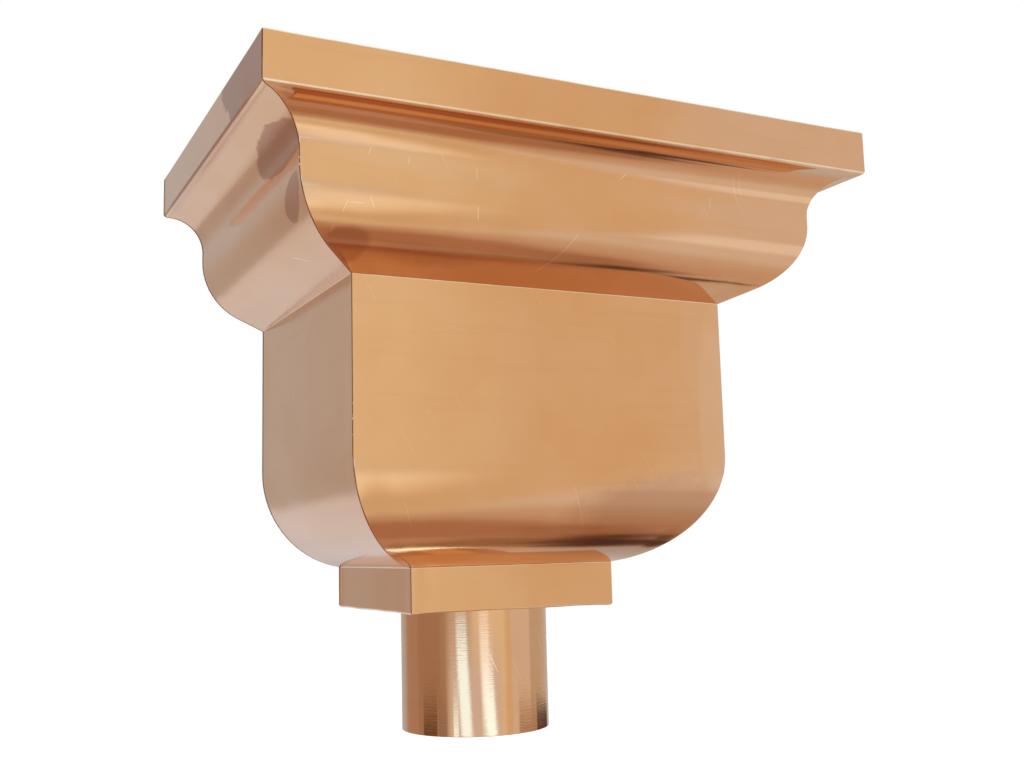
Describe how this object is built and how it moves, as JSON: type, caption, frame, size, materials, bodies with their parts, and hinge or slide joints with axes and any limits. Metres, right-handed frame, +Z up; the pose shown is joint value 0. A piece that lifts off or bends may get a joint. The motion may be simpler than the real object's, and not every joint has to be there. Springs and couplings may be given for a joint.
{
  "type": "rainwater hopper",
  "caption": "Wall-hung sheet-copper rainwater hopper with a moulded open rim, a box that rounds in to a collar, and a round outlet tube.",
  "frame": {"origin": "midway between the two fixing holes, on the wall's face", "axes": "+Y points into the wall, +Z up, +X along the wall to the right as seen from the front"},
  "size_m": [0.305, 0.203, 0.2931],
  "materials": {
    "sheet_copper": "polished copper sheet"
  },
  "bodies": {
    "root": {"front_panel": "sheet_copper", "left_side_panel": "sheet_copper", "right_side_panel": "sheet_copper", "back_panel": "sheet_copper", "outlet_plate": "sheet_copper", "outlet_tube": "sheet_copper"}
  },
  "joints": []
}
